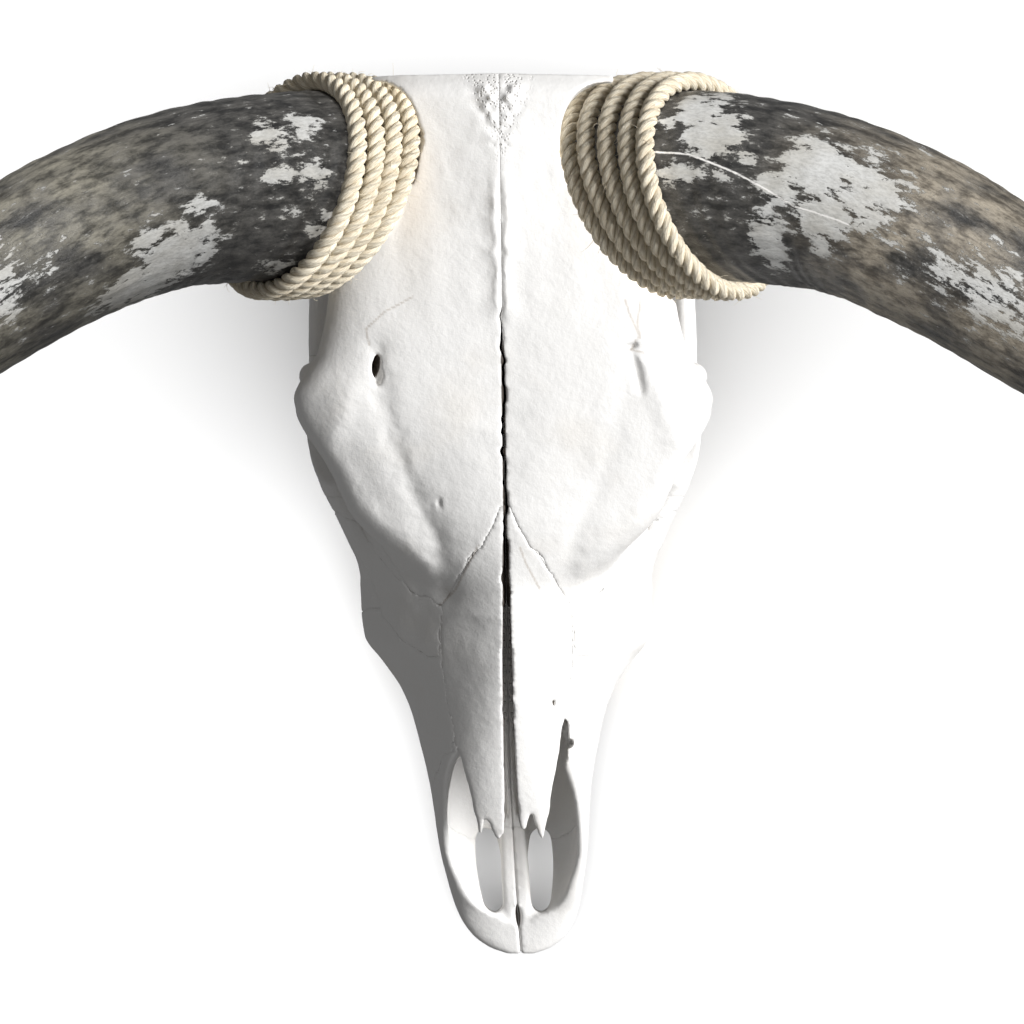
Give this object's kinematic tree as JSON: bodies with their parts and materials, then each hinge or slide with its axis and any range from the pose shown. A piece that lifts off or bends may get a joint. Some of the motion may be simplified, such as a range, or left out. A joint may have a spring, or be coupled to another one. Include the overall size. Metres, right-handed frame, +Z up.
{
  "type": "cow skull",
  "caption": "Longhorn cow skull without its lower jaw, forehead up on its cheek teeth, with wide curved horns and rope wound round the horn roots.",
  "frame": {"origin": "centre of the bounding box in X and Y, at the floor that the cheek teeth and the two paracondylar processes stand on", "axes": "+X along the horns' spread, to the skull's right in a view from above with the poll up; +Y from the muzzle to the poll; +Z up, out of the forehead"},
  "size_m": [1.554, 0.5644, 0.5051],
  "materials": {
    "bone": "dry bleached bone, chalky and matt",
    "horn": "weathered dark horn with pale streaks, satin",
    "rope": "three-strand natural fibre rope, matt"
  },
  "bodies": {
    "root": {"frontal_left": "bone", "frontal_right": "bone", "nasal_left": "bone", "nasal_right": "bone", "lacrimal_left": "bone", "lacrimal_right": "bone", "zygomatic_left": "bone", "zygomatic_right": "bone", "maxilla_left": "bone", "maxilla_right": "bone", "premaxilla_left": "bone", "premaxilla_right": "bone", "palatine_left": "bone", "palatine_right": "bone", "temporal_left": "bone", "temporal_right": "bone", "sphenoid": "bone", "occipital": "bone", "horn_left": "horn", "rope_left": "rope", "horn_right": "horn", "rope_right": "rope"}
  },
  "joints": []
}
